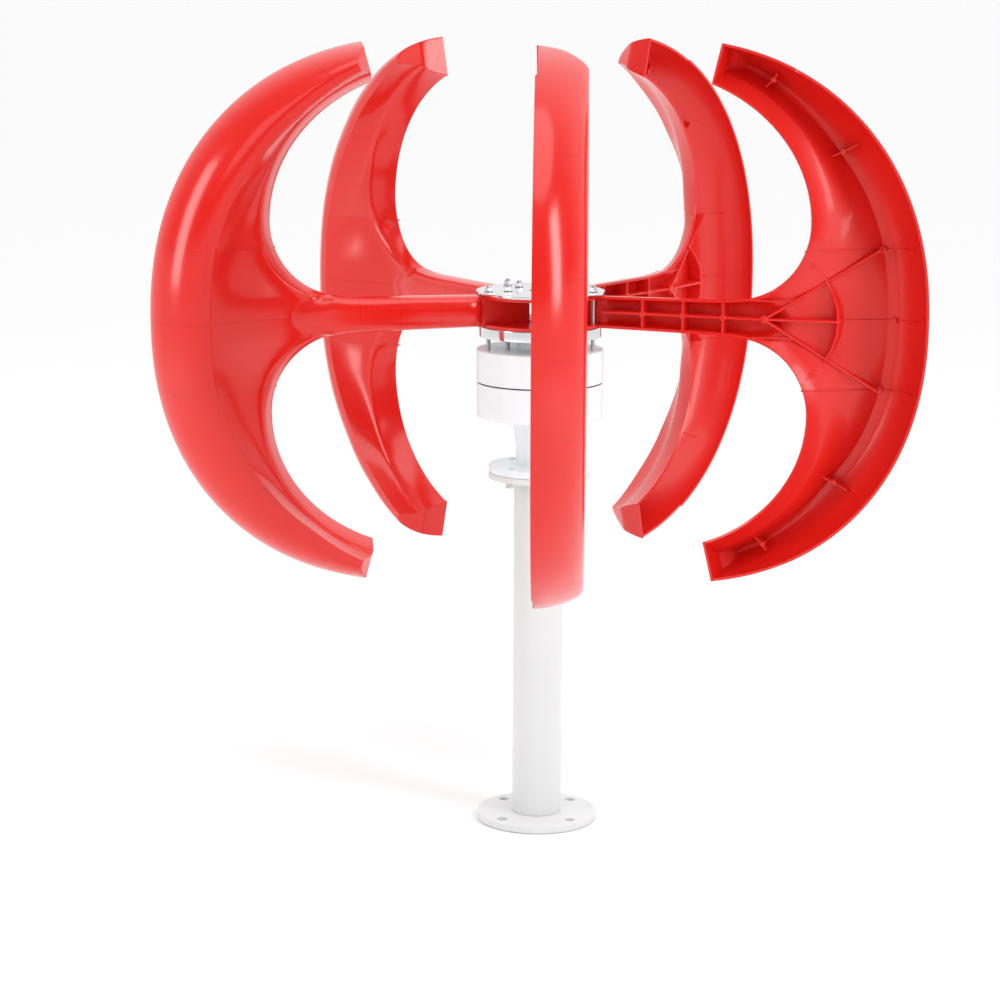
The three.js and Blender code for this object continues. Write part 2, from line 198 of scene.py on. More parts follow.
def piece(name, patches, crease=32.0, plane=None, hollow=None):
    """One mesh object from patches: points within 2 microns are merged, and quads that lose a
    corner become triangles.

    crease is the angle in degrees past which an edge is drawn sharp. plane (n, 2) and hollow (n,)
    are values kept on the points, in the order of the patches' points."""
    points = np.concatenate([p for p, _ in patches])
    starts = np.cumsum([0] + [len(p) for p, _ in patches[:-1]])
    quads = np.concatenate([q + s for (_, q), s in zip(patches, starts)])
    keys = np.round(points / 2e-6).astype(np.int64)
    _, first, back = np.unique(keys, axis=0, return_index=True, return_inverse=True)
    corners = back.reshape(-1)[quads]
    kept = corners != np.roll(corners, 1, axis=1)
    faces = [c[k].tolist() for c, k in zip(corners, kept) if k.sum() > 2]
    mesh = bpy.data.meshes.new(name)
    mesh.from_pydata(points[first], [], faces)
    mesh.validate()
    solid = bmesh.new()
    solid.from_mesh(mesh)
    bmesh.ops.recalc_face_normals(solid, faces=solid.faces)
    solid.to_mesh(mesh)
    solid.free()
    mesh.polygons.foreach_set("use_smooth", np.ones(len(mesh.polygons), bool))
    mesh.set_sharp_from_angle(angle=math.radians(crease))
    if hollow is not None:
        side = mesh.attributes.new("hollow_side", "FLOAT", "POINT")
        side.data.foreach_set("value", hollow[first].astype(np.float32))
    if plane is not None:
        ends = np.zeros(len(mesh.loops), np.int32)
        mesh.loops.foreach_get("vertex_index", ends)
        flat = mesh.uv_layers.new(name="blade_plane")
        flat.data.foreach_set("uv", plane[first][ends].astype(np.float32).ravel())
    made = bpy.data.objects.new(name, mesh)
    bpy.context.scene.collection.objects.link(made)
    return made


FLOOR_R = 240.0
FLOOR_DROP = 0.0006  # just clear of the mast's foot
turn = np.linspace(0, 2 * np.pi, 65)[:-1][:, None]
reach = np.array([[0.0, 0.5, 2.0, 8.0, 40.0, FLOOR_R]])
floor_points = np.stack(
    [reach * np.cos(turn), reach * np.sin(turn), 0 * reach * turn - FLOOR_DROP], -1
)
floor = piece("studio_floor", [patch(floor_points, wrap_u=True)])
floor_paint, tree, spot = material("matt_floor_paint")
mottle = joined(
    tree, "ShaderNodeTexNoise", {"Scale": 3.0, "Detail": 3.0}, {"Vector": spot}
)
tone = joined(
    tree, "ShaderNodeMix", {"data_type": "RGBA", 6: colour("#F8F8F8"), 7: colour("#FAFAFA")},
    {0: mottle.outputs[0]},
)
matt = joined(
    tree, "ShaderNodeBsdfPrincipled", {"Roughness": 0.7, "Specular IOR Level": 0.2},
    {"Base Color": tone.outputs[2]},
)
joined(tree, "ShaderNodeOutputMaterial", {}, {"Surface": matt.outputs[0]})
floor.data.materials.append(floor_paint)

# ---- Blades
# Five injection-moulded nylon blades, each one crescent trough on a half-tube arm with ribs on
# its hollow side. The smooth side is high gloss from a polished mould, the ribbed side satin.
# A blade is drawn in millimetres: r out from the hub, t through its depth and z up.
BLADES = 5
BLADE_WALL = 2.9
OPEN_T = -4.0  # the plane of the open side
STRIP_T = 51.0  # the flat strip along the bottom of the trough
ROOT_R = 70.0
ARM_END = 245.0
SEAM_Q = 0.06  # share of half the crescent that the arm takes up
FILLET_AT, FILLET_R = (226.0, 106.0), 85.0
INNER_AT, INNER_RADII, INNER_END = (120, 106), (191, 163), 66.5
OUTER_R, OUTER_RADII, OUTER_END, OUTER_POWER = 140, (304, 305), 79.1, 0.909
ARM_HALF, ARM_GAIN, ARM_RUN = 18, 2.5, 216
FLARE_R, FLARE_POWER = 200, 2.2
WEB_R, WEB_ROLL, WEB_CROWN, CROWN_GAIN = 72, 18, 11, 7
BOW_LENGTH = 47
PLATE_POWER = 1.5
FALL_POWERS = (1.6, 0.58)
HOLLOW_ROLL = 2.3  # the hollow side's roll into the plate, as a share of the inner wall's width
NOSE_BLEND, NOSE_RUN = 9.0, 16


def smoothed(stations, width=0.07):
    """A value along half a crescent: straight lines between stations (q, value), then a running
    mean under a bell."""
    fine = np.linspace(0, 1, 1001)
    raw = np.interp(fine, *np.array(stations, float).T)
    span = int(width * 1000)
    bell = np.hanning(2 * span + 1)
    padded = np.pad(raw, span, mode="reflect", reflect_type="odd")
    soft = np.convolve(padded, bell / bell.sum(), mode="valid")
    return lambda q: np.interp(q, fine, soft)


def paced(path):
    """A path (n, 2) as a function of its share of length: that share of the whole length, read off
    the polyline."""
    steps = np.concatenate(
        [[0], np.cumsum(np.linalg.norm(np.diff(path, axis=0), axis=1))]
    )
    steps /= steps[-1]
    return lambda share: np.stack(
        [np.interp(share, steps, path[:, 0]), np.interp(share, steps, path[:, 1])], -1
    )


def oval(centre, radii, angle, power=1):
    """A superellipse: centre plus each radius times the cosine or sine to a power."""
    cosine, sine = np.cos(angle) ** power, np.sin(angle) ** power
    return np.stack([centre[0] + radii[0] * cosine, centre[1] + radii[1] * sine], -1)


# The inner edge runs up the arm's end, round a fillet and along an ellipse; the outer edge is one
# superellipse.
fillet_start = -math.acos((ARM_END - FILLET_AT[0]) / FILLET_R)
seam_half = FILLET_AT[1] + FILLET_R * math.sin(fillet_start)
around = np.linspace(fillet_start, 0, 200)
horn = np.radians(np.linspace(0, INNER_END, 400))[1:]
inner_path = np.concatenate(
    [
        np.stack([np.full(40, ARM_END), np.linspace(0, seam_half, 41)[:-1]], -1),
        np.stack(
            [FILLET_AT[0] + FILLET_R * np.cos(around), FILLET_AT[1] + FILLET_R * np.sin(around)], -1
        ),
        oval(INNER_AT, INNER_RADII, horn),
    ]
)
sweep = np.radians(np.linspace(0, OUTER_END, 600))
outer_path = oval((OUTER_R, 0), OUTER_RADII, sweep, OUTER_POWER)
inner_edge, outer_edge = paced(inner_path), paced(outer_path)
inner_length = np.linalg.norm(np.diff(inner_path, axis=0), axis=1).sum()
seam_share = seam_half / inner_length

# Sizes that change from the arm (q = 0) to a tip (q = 1): where the inner edge is, how far the strip
# lies in and its width, the inner edge's depth, the crease's depth and distance, and how round the
# inner wall is.
inner_share = smoothed(
    [(0, 0), (SEAM_Q, seam_share), (0.19, 0.311), (0.52, 0.59), (1, 1)], 0.03
)
strip_inset = smoothed([(0, 51), (0.52, 51), (0.74, 41), (0.943, 24), (1, 22)])
strip_width = smoothed([(0, 10), (0.8, 9), (1, 6)])
edge_t = smoothed([(0, OPEN_T), (SEAM_Q, OPEN_T), (0.12, -2), (1, -2)], 0.02)
crease_t = smoothed([(0, 11), (0.07, 12), (0.26, 26.5), (1, 27.5)], 0.12)
crease_in = smoothed([(0, 27), (0.07, 26), (0.26, 17), (0.6, 16), (1, 12)], 0.12)
wall_power = smoothed([(0, 1.9), (0.1, 1.8), (0.3, 1.35), (1, 1.3)], 0.1)
along = np.linspace(0, 1, 201)
span = np.linalg.norm(outer_edge(along) - inner_edge(inner_share(along)), axis=1)
plate_span = span - strip_inset(along) - strip_width(along) / 2 - crease_in(along)
slope_length = smoothed(np.stack([along, plate_span], -1), 0.11)


def end_cap(q):
    """Highest t the trough may reach: straight lines that cut each tip off on a slant."""
    return np.interp(q, [0, 0.943, 0.988, 1], [STRIP_T + 9, STRIP_T, 26, -3])


def arm_half(r):
    """Half width of the arm: a slow taper that flares out to meet the fillet at the arm's end."""
    taper = ARM_HALF + ARM_GAIN * (r - ROOT_R) / ARM_RUN
    flare = np.clip((r - FLARE_R) / (ARM_END - FLARE_R), 0, 1) ** FLARE_POWER
    return taper + (seam_half - ARM_HALF - ARM_GAIN * (ARM_END - ROOT_R) / ARM_RUN) * flare


def arm_height(r, z):
    """Height of the half tube over its plan: a superellipse across it, round at the hub web, that
    closes like a boat's bow past the arm's end, where the width falls to 0.3 and the crown to 0.35
    with the root of 1 - (distance / bow length)^2."""
    rise = np.clip((r - WEB_R) / WEB_ROLL, 0, 1)
    crown = WEB_CROWN + CROWN_GAIN * np.sqrt(1 - (1 - rise) ** 2)
    bow = np.clip((r - ARM_END) / BOW_LENGTH, 0, 1)
    close = np.sqrt(1 - bow**2)
    half = arm_half(np.minimum(r, ARM_END)) * (0.3 + 0.7 * close) - 1.5 * bow
    power = 10 / 3 - 1.3 * bow**0.5
    across = np.clip(np.abs(z) / half, 0, 1)
    tube = (crown - OPEN_T) * (0.35 + 0.65 * close)
    return OPEN_T + tube * (1 - across**power) ** (1 / power)


def crisp(rise, q):
    """Share of the plate's height that the inner wall reaches, at a share rise of its width."""
    return 1 - (1 - rise) ** wall_power(q)


def plate_height(q, d, width, roll=crisp):
    """Height of the trough at distance d from its inner edge: a slanting inner wall, a plate that
    rises ever more steeply, the flat bottom strip, and an outer wall that falls as a superellipse to
    the open side."""
    half, inset, rim = strip_width(q) / 2, strip_inset(q), crease_in(q)
    foot, far = width - inset - half, width - inset + half
    down = np.clip(1 - (foot - d) / slope_length(q), 0, 1) ** PLATE_POWER
    plate = crease_t(q) + (STRIP_T - crease_t(q)) * down
    rise = np.clip(d / rim, 0, 1)
    plate = edge_t(q) + (plate - edge_t(q)) * roll(rise, q)
    drop = np.clip((d - far) / (width - far), 0, 1)
    fall = OPEN_T + (STRIP_T - OPEN_T) * (1 - drop ** FALL_POWERS[0]) ** FALL_POWERS[1]
    return np.where(d > far, fall, plate)


def core_height(q, d, width):
    """Height that the hollow side keeps to: the same trough, but its inner wall rolls into the plate
    over a wider band, as one minus the square of what is left of the band."""

    def wide(rise, q):
        return 1 - (1 - np.clip(d / (HOLLOW_ROLL * crease_in(q)), 0, 1)) ** 2

    return plate_height(q, d, width, wide)


def crescent_surface(q, v, height=plate_height):
    """Outer face of the crescent in (r, t, z). q from -1 to 1 runs from tip to tip, v from 0 at the
    inner edge to 4 at the outer: one unit each for the inner wall, the plate, the strip and the outer
    wall. The arm's nose stands out of it by a smooth maximum."""
    size = np.abs(q)
    a, b = inner_edge(inner_share(size)), outer_edge(size)
    width = np.linalg.norm(b - a, axis=-1)
    half, inset, rim = strip_width(size) / 2, strip_inset(size), crease_in(size)
    foot, far = width - inset - half, width - inset + half
    marks_d = np.concatenate([0 * width, rim, foot, far, width], -1)
    i = np.clip(np.floor(v).astype(int), 0, 3)
    f = v - i
    f = np.where(i == 0, f * f * (3 - 2 * f), np.where(i == 3, 1 - (1 - f) ** 1.9, f))
    low = np.take_along_axis(marks_d, i, -1)
    high = np.take_along_axis(marks_d, i + 1, -1)
    d = low + (high - low) * f
    q_all, w_all = np.broadcast_to(size, d.shape), np.broadcast_to(width, d.shape)
    t = height(q_all, d, w_all)
    spot = a + (b - a) * (d / w_all)[..., None]
    r, z = spot[..., 0], spot[..., 1]
    blend = NOSE_BLEND * np.clip(d / NOSE_RUN, 0, 1) + 1e-6
    tube = np.where(r < ARM_END + BOW_LENGTH, arm_height(r, z), -20.0)
    near = np.clip(blend - np.abs(tube - t), 0, None) / blend
    t = np.maximum(t, tube) + near * near * blend * 0.25
    t = np.minimum(t, end_cap(q_all))
    return np.stack([r, t, np.sign(q) * z], -1)


def inward(face, flip):
    """The inner face of the moulding: each point moved a wall's thickness against its normal, the
    cross product of the two grid directions, and kept on the open side's plane."""
    du, dv = np.gradient(face, axis=0), np.gradient(face, axis=1)
    normal = np.cross(du, dv) * (1 if flip else -1)
    normal /= np.linalg.norm(normal, axis=-1, keepdims=True) + 1e-12
    inner = face - BLADE_WALL * normal
    inner[..., 1] = np.maximum(inner[..., 1], OPEN_T)
    return inner


# The crescent's grid, closest at the arm and at the slanting ends, with one line on the seam.
stations = np.linspace(0, 1, 150) ** 1.22
stations = np.union1d(stations, np.concatenate([np.linspace(0.93, 1, 26), [SEAM_Q]]))
q_line = np.concatenate([-stations[:0:-1], stations])
v_line = np.concatenate(
    [
        np.linspace(0, 1, 13)[:-1],
        1 + np.linspace(0, 1, 25)[:-1] * 0.98,
        [1.985, 1.995],
        2 + np.linspace(0, 1, 5)[:-1],
        3 + np.linspace(0, 1, 25),
    ]
)
v_all = np.broadcast_to(v_line, (len(q_line), len(v_line)))
crescent = crescent_surface(q_line[:, None], v_all)
crescent_core = crescent_surface(q_line[:, None], v_all, core_height)

# The arm's grid ends on the crescent's own points, and crowds towards the arm's edges elsewhere.
seam = np.abs(q_line) <= SEAM_Q + 1e-4
seam_z = crescent[seam, 0, 2]
r_line = np.concatenate(
    [ROOT_R + 30 * np.linspace(0, 1, 16)[:-1], np.linspace(ROOT_R + 30, ARM_END, 50)]
)
arm_z = seam_z[None, :] / seam_half * arm_half(r_line)[:, None]
edge_share = arm_z / arm_half(r_line)[:, None]
edge_share = np.sign(edge_share) * (
    1 - (1 - np.clip(np.abs(edge_share), 0, 1)) ** 1.8
)
ease = np.clip((r_line - 215) / 30, 0, 1)[:, None]
arm_z = arm_z * ease + edge_share * arm_half(r_line)[:, None] * (1 - ease)
arm_r = np.broadcast_to(r_line[:, None], arm_z.shape)
arm = np.stack([arm_r, arm_height(arm_r, arm_z), arm_z], -1)
arm[-1] = crescent[seam, 0]

crescent_inner = inward(crescent_core, True)
arm_inner = inward(arm, False)
if crescent_inner[len(q_line) // 2, 30, 1] > crescent[len(q_line) // 2, 30, 1]:
    crescent_inner = inward(crescent_core, False)
if arm_inner[20, 10, 1] > arm[20, 10, 1]:
    arm_inner = inward(arm, True)
arm_inner[-1] = crescent_inner[seam, 0]

rib_floor = np.concatenate([crescent_inner.reshape(-1, 3), arm_inner.reshape(-1, 3)])


def floor_height(r, z):
    """Height of the moulding's inner face over points of the blade's plane: the mean of the nearest
    three points, each weighted by one over its squared distance."""
    gap = (rib_floor[None, :, 0] - r[:, None]) ** 2 + (
        rib_floor[None, :, 2] - z[:, None]
    ) ** 2
    near = np.argpartition(gap, 3, axis=1)[:, :3]
    weight = 1 / (np.take_along_axis(gap, near, 1) + 0.01)
    return (weight * rib_floor[near, 1]).sum(1) / weight.sum(1)


RIB_EDGE = -3.2  # depth of the ribs' free edges where they come up to the open side
RIB_ROOT = 1.4  # how far a rib or a boss is let into the wall


def rib(path, free, thick=2.2, low=None):
    """A moulded rib along a path of (r, z) points: a strip with drafted sides and a rounded free edge
    at depth free, its foot in the wall. With low it follows the wall instead, standing that far off
    it."""
    path = np.array(path, float)
    walk = paced(path)(np.linspace(0, 1, max(3, int(len(path) * 12))))
    way = np.gradient(walk, axis=0)
    way /= np.linalg.norm(way, axis=1, keepdims=True)
    side = np.stack([-way[:, 1], way[:, 0]], -1)
    base = floor_height(walk[:, 0], walk[:, 1])
    share = np.linspace(0, 1, len(walk))
    top = np.interp(share, np.linspace(0, 1, len(free)), free) if low is None else base - low
    top = np.minimum(top, base - 0.2)
    across = np.array([-0.6, -0.5, -0.34, 0.0, 0.34, 0.5, 0.6]) * thick
    up = np.array([0, 1, 1, 1, 1, 1, 0.0])
    back = np.array([0, 0.7, 0.15, 0, 0.15, 0.7, 0]) * thick * 0.5
    spot = walk[:, None, :] + side[:, None, :] * across[None, :, None]
    t = (base + RIB_ROOT)[:, None] * (1 - up) + (top[:, None] + back) * up
    return closed_bar(np.stack([spot[..., 0], t, spot[..., 1]], -1))


def closed_bar(rows):
    """A bar from its rows of cross-section points: the sides as one wrapped grid, and each end drawn
    in to its middle."""
    ends = [
        np.stack([row, np.broadcast_to(row.mean(0), row.shape)])
        for row in (rows[0], rows[-1])
    ]
    return [patch(rows, wrap_v=True)] + [patch(e, wrap_v=True) for e in ends]


def boss(r, z, top, radius=3.2):
    """An ejector boss: a short round post, its radius falling as a quarter circle at the free end."""
    base = floor_height(np.array([r]), np.array([z]))[0]
    top = min(top, base - 1.0)
    turn = np.linspace(0, 2 * np.pi, 19)[:-1][None, :]
    bend = np.linspace(0, np.pi / 2, 5)[:, None]
    low_ring = np.array([[radius * 1.05]])
    radii = np.concatenate([low_ring, radius - 0.9 + 0.9 * np.cos(bend), [[0.0]]])
    depth = np.concatenate([[[base + RIB_ROOT]], top + 0.9 - 0.9 * np.sin(bend), [[top]]])
    spots = np.stack(
        [r + radii * np.cos(turn), depth + 0 * turn, z + radii * np.sin(turn)], -1
    )
    bottom = np.stack([spots[0], np.broadcast_to(spots[0].mean(0), spots[0].shape)])
    return [patch(spots, wrap_v=True), patch(bottom, wrap_v=True)]


# The ribs: a spine and three cross ribs in the arm, then a node from which two fan ribs, a bow and
# low ribs spread over the plate, and two short gussets in each horn.
NODE_R = 261.0
ribs = rib([(74, 0), (NODE_R, 0)], (RIB_EDGE, RIB_EDGE), 2.8)
ribs += rib([(NODE_R, 0), (342, 0)], (RIB_EDGE, 6.5), 2.8)
ribs += rib([(342, 0), (428, 0)], (8,), 1.4, low=1.5) + boss(396, 0, 44)
for r in (121, 168, 214):
    half = float(arm_half(np.array(r))) - 2.2
    ribs += rib([(r, -half), (r, half)], (RIB_EDGE, RIB_EDGE), 2.8)
    ribs += boss(r, 0, -3.8, 3.6)
ribs += boss(NODE_R, 0, -3.8, 4.4)
for s in (-1, 1):
    ribs += rib([(NODE_R, 0), (382, s * 78)], (RIB_EDGE, 31), 3.0)
    ribs += rib([(240, s * 21), (266, s * 20.4), (292, s * 20)], (-3.8, 0, 7.5))
    ribs += rib(
        [(308, s * 65), (324, s * 48), (335, s * 31), (341, s * 15), (342, 0)],
        (60, 18, 10.5, 7, 6.5),
        2.8,
    )
    ribs += boss(312, s * 61, 20, 3.4) + boss(342, 0, 7.4, 2.6)
    ribs += rib([(305, s * 77), (422, s * 79)], (8,), 1.4, low=1.5)
    ribs += boss(382, s * 78, 41, 3.8)
    ribs += rib([(307, s * 171), (336, s * 184), (368, s * 200)], (60, 33, 34, 34, 60), 2.0)
    ribs += boss(336, s * 184, 34, 3.2)
    ribs += rib([(240, s * 245), (257, s * 260), (266, s * 276)], (60, 30, 31, 31, 60), 2.0)
    ribs += boss(257, s * 260, 31, 3.2)


PLATE_IN, PLATE_OUT = 15.0, 69.0
PLATE_TOP, PLATE_THICK = 18, 3.5
SIDE_OVER, SIDE_SHORT = 4.0, 5.0  # a root plate starts past its own arm and stops short of the next


def sector_plate(low, high):
    """Root plate that lies on a hub disc, from this arm round to the next: a flat ring sector in
    (r, t, z), whose sides keep a set distance from the lines out through the two arms."""
    radius = np.array([PLATE_IN, PLATE_IN + 0.4, PLATE_OUT - 0.4, PLATE_OUT])
    side = SIDE_OVER / radius
    share = np.linspace(0, 1, 13)[:, None]
    angle = -np.arcsin(side) + share * (
        2 * np.pi / BLADES - np.arcsin(SIDE_SHORT / radius) + np.arcsin(side)
    )
    flat = np.stack([radius * np.cos(angle), radius * np.sin(angle)], -1)
    levels = [low, low + 0.4, high - 0.4, high]
    faces = [
        np.concatenate([flat, np.full((*flat.shape[:2], 1), z)], -1)
        for z in (low, high)
    ]
    rim = np.concatenate([flat[:, 0], flat[-1, 1:], flat[-2::-1, -1], flat[0, -2:0:-1]])
    skirt = np.stack([np.column_stack([rim, np.full(len(rim), z)]) for z in levels])
    return [patch(f) for f in faces] + [patch(skirt, wrap_v=True)]


def slab(r0, r1, t0, t1, z0, z1):
    """A flat web in the blade's plane: a bar of eased rectangular section carried from z0 to z1."""
    outline = np.array(
        [(r0, t0 + 0.6), (r0 + 0.6, t0), (r1 - 0.6, t0), (r1, t0 + 0.6)]
        + [(r1, t1 - 0.6), (r1 - 0.6, t1), (r0 + 0.6, t1), (r0, t1 - 0.6)]
    )
    rows = [np.column_stack([outline, np.full(8, z)]) for z in (z0, z1)]
    return closed_bar(np.array(rows))


root = sector_plate(PLATE_TOP - PLATE_THICK, PLATE_TOP)
root += sector_plate(-PLATE_TOP, PLATE_THICK - PLATE_TOP)
root += slab(r0=16, r1=76, t0=8, t1=11, z0=-17.2, z1=17.2)

# The rims close the wall between its two faces, except where the arm and the crescent join.
rims = [
    np.stack([crescent[:, -1], crescent_inner[:, -1]]),
    np.stack([crescent[0], crescent_inner[0]]),
    np.stack([crescent[-1], crescent_inner[-1]]),
    np.stack([arm[0], arm_inner[0]]),
    np.stack([arm[:, 0], arm_inner[:, 0]]),
    np.stack([arm[:, -1], arm_inner[:, -1]]),
]
first_seam, last_seam = np.flatnonzero(seam)[[0, -1]]
for part in (slice(0, first_seam + 1), slice(last_seam, None)):
    rims.append(np.stack([crescent[part, 0], crescent_inner[part, 0]]))
smooth_side = [patch(crescent), patch(arm)]
hollow_parts = [patch(crescent_inner), patch(arm_inner)] + [patch(r) for r in rims]
blade_patches = smooth_side + hollow_parts + ribs + root
n_smooth = sum(len(p) for p, _ in smooth_side)
blade_points = np.concatenate([p for p, _ in blade_patches])
hollow_flag = (np.arange(len(blade_points)) >= n_smooth).astype(float)
blade_plane = blade_points[:, [0, 2]] * MM

# Nylon, injection moulded: a deep red with the mould's gloss outside, and inside the softer sheen
# of a plainer core. Faint lines sink in outside where ribs draw the plastic in as it cools: a shallow
# dent in the bump, with darker red painted along each line as shade.
red_nylon, tree, spot = material("red_nylon_injection_moulded")
flat = joined(tree, "ShaderNodeUVMap", {"uv_map": "blade_plane"})
inside = joined(tree, "ShaderNodeAttribute", {"attribute_name": "hollow_side"})
half_plane = joined(tree, "ShaderNodeVectorMath", {"operation": "ABSOLUTE"}, {0: flat.outputs["UV"]})

# The sink lines, one half of the blade standing for both. The distance to a line is the larger of
# how far a point lies off it and how far past its end, and the nearest line counts.
SINK_LINES_MM = [
    ((121, -20), (121, 20)),
    ((168, -20), (168, 20)),
    ((214, -21), (214, 21)),
    ((292, 0), (440, 0)),
    ((303, 77), (425, 79)),
    ((310, 173), (366, 199)),
    ((241, 247), (266, 277)),
]
nearest = None
for start, end in SINK_LINES_MM:
    p0, p1 = np.array(start) * MM, np.array(end) * MM
    line_way = (p1 - p0) / np.linalg.norm(p1 - p0)
    middle, half_long = (p0 + p1) / 2, np.linalg.norm(p1 - p0) / 2
    apart = []
    for axis in ((-line_way[1], line_way[0]), line_way):
        dot = joined(
            tree, "ShaderNodeVectorMath", {"operation": "DOT_PRODUCT", 1: (*axis, 0)},
            {0: half_plane.outputs[0]},
        )
        shifted = joined(
            tree, "ShaderNodeMath", {"operation": "SUBTRACT", 1: float(np.dot(middle, axis))},
            {0: dot.outputs["Value"]},
        )
        size = joined(tree, "ShaderNodeMath", {"operation": "ABSOLUTE"}, {0: shifted.outputs[0]})
        apart.append(size.outputs[0])
    past_end = joined(
        tree, "ShaderNodeMath", {"operation": "SUBTRACT", 1: float(half_long)}, {0: apart[1]}
    )
    away = joined(tree, "ShaderNodeMath", {"operation": "MAXIMUM"}, {0: apart[0], 1: past_end.outputs[0]})
    wired = {0: away.outputs[0]}
    if nearest:
        wired[1] = nearest.outputs[0]
    nearest = joined(tree, "ShaderNodeMath", {"operation": "MINIMUM", 1: 1.0}, wired)
sink_lines_dent_and_painted_shade = joined(
    tree, "ShaderNodeMapRange",
    {
        "interpolation_type": "SMOOTHSTEP", "From Min": 0.0002, "From Max": 0.0016,
        "To Min": 1.0, "To Max": 0.0,
    },
    {"Value": nearest.outputs[0]},
)
outside = joined(tree, "ShaderNodeMath", {"operation": "SUBTRACT", 0: 1.0}, {1: inside.outputs["Fac"]})
sink_dent_and_painted_shade = joined(
    tree, "ShaderNodeMath", {"operation": "MULTIPLY"},
    {0: sink_lines_dent_and_painted_shade.outputs["Result"], 1: outside.outputs[0]},
)
flow = joined(
    tree, "ShaderNodeTexNoise", {"Scale": 9.0, "Detail": 2.0, "Roughness": 0.4},
    {"Vector": spot},
)
peel = joined(
    tree, "ShaderNodeTexNoise", {"Scale": 130.0, "Detail": 2.0, "Roughness": 0.5},
    {"Vector": spot},
)
red = joined(
    tree, "ShaderNodeMix", {"data_type": "RGBA", 6: colour("#D81811"), 7: colour("#E31F16")},
    {0: flow.outputs[0]},
)
# Painted shade: along the sink lines the red is darkened towards #A81210, at most 0.22 of the way.
painted_sink_shade = joined(tree, "ShaderNodeMath", {"operation": "MULTIPLY", 1: 0.22}, {0: sink_dent_and_painted_shade.outputs[0]})
red_with_painted_sink_shade = joined(
    tree, "ShaderNodeMix", {"data_type": "RGBA", 7: colour("#A81210")},
    {0: painted_sink_shade.outputs[0], 6: red.outputs[2]},
)
gloss = joined(
    tree, "ShaderNodeMapRange", {"To Min": 0.17, "To Max": 0.36}, {"Value": inside.outputs["Fac"]}
)
drift = joined(tree, "ShaderNodeMath", {"operation": "MULTIPLY", 1: 0.06}, {0: flow.outputs[0]})
gloss_varied = joined(
    tree, "ShaderNodeMath", {"operation": "ADD"}, {0: gloss.outputs["Result"], 1: drift.outputs[0]}
)
skin = joined(tree, "ShaderNodeMath", {"operation": "MULTIPLY", 1: 0.03}, {0: peel.outputs[0]})
dip = joined(tree, "ShaderNodeMath", {"operation": "MULTIPLY", 1: 0.12}, {0: sink_dent_and_painted_shade.outputs[0]})
relief = joined(
    tree, "ShaderNodeMath", {"operation": "SUBTRACT"}, {0: skin.outputs[0], 1: dip.outputs[0]}
)
ripple = joined(
    tree, "ShaderNodeBump", {"Strength": 0.35, "Distance": 0.0006}, {"Height": relief.outputs[0]}
)
plastic = joined(
    tree, "ShaderNodeBsdfPrincipled",
    {"IOR": 1.53, "Specular IOR Level": 0.42, "Coat Weight": 0.2, "Coat Roughness": 0.1},
    {"Base Color": red_with_painted_sink_shade.outputs[2], "Roughness": gloss_varied.outputs[0], "Normal": ripple.outputs[0]},
)
joined(tree, "ShaderNodeOutputMaterial", {}, {"Surface": plastic.outputs[0]})

FIRST_BLADE = -math.pi / 2
BLADE_CREASE = 38
counts = np.cumsum([0] + [len(p) for p, _ in blade_patches])
for i in range(BLADES):
    a = FIRST_BLADE + i * 2 * math.pi / BLADES
    turned_points = (
        np.stack(
            [
                blade_points[:, 0] * math.cos(a) - blade_points[:, 1] * math.sin(a),
                blade_points[:, 0] * math.sin(a) + blade_points[:, 1] * math.cos(a),
                blade_points[:, 2] + rotor_axis_z / MM,
            ],
            -1,
        )
        * MM
    )
    parts = [
        (turned_points[lo:hi], q)
        for lo, hi, (_, q) in zip(counts[:-1], counts[1:], blade_patches)
    ]
    blade = piece(f"blade_skin_{i + 1}", parts, BLADE_CREASE, blade_plane, hollow_flag)
    blade.data.materials.append(red_nylon)
    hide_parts(f"blade_{i + 1}")
    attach(blade, "rotor")


# ---- Hub discs
# Two turned stainless plates that clamp the blade roots, the upper thin with a centre hole and
# the lower thick. Both are polished to a mirror, so they pick up the red of the arms.
def eased(corners, radius):
    """A closed outline with each corner rounded: start (1-f)^2 + corner 2f(1-f) + end f^2, with f
    from 0 to 1, where start and end lie the radius away from the corner."""
    corners = np.array(corners, float)
    before = np.roll(corners, 1, axis=0) - corners
    after = np.roll(corners, -1, axis=0) - corners
    long_b = np.linalg.norm(before, axis=1, keepdims=True)
    long_a = np.linalg.norm(after, axis=1, keepdims=True)
    on_axis = corners[:, :1] < 1e-9
    reach = np.where(
        on_axis,
        0,
        np.minimum(
            np.reshape(radius, (-1, 1)), 0.45 * np.minimum(long_b, long_a)
        ),
    )
    start = (corners + before / long_b * reach)[:, None]
    end = (corners + after / long_a * reach)[:, None]
    f = np.linspace(0, 1, 6)[None, :, None]
    curve = (1 - f) ** 2 * start + 2 * f * (1 - f) * corners[:, None] + f**2 * end
    return curve.reshape(-1, 2)


def turned(outline, x=0.0, y=0.0, sides=144):
    """A lathe-turned body: a closed outline of (radius, height) carried round a vertical axis at (x, y)."""
    a = np.linspace(0, 2 * np.pi, sides + 1)[:-1][:, None]
    r, z = outline[None, :, 0], outline[None, :, 1]
    return patch(
        np.stack([x + r * np.cos(a), y + r * np.sin(a), z + 0 * a], -1), True, True
    )


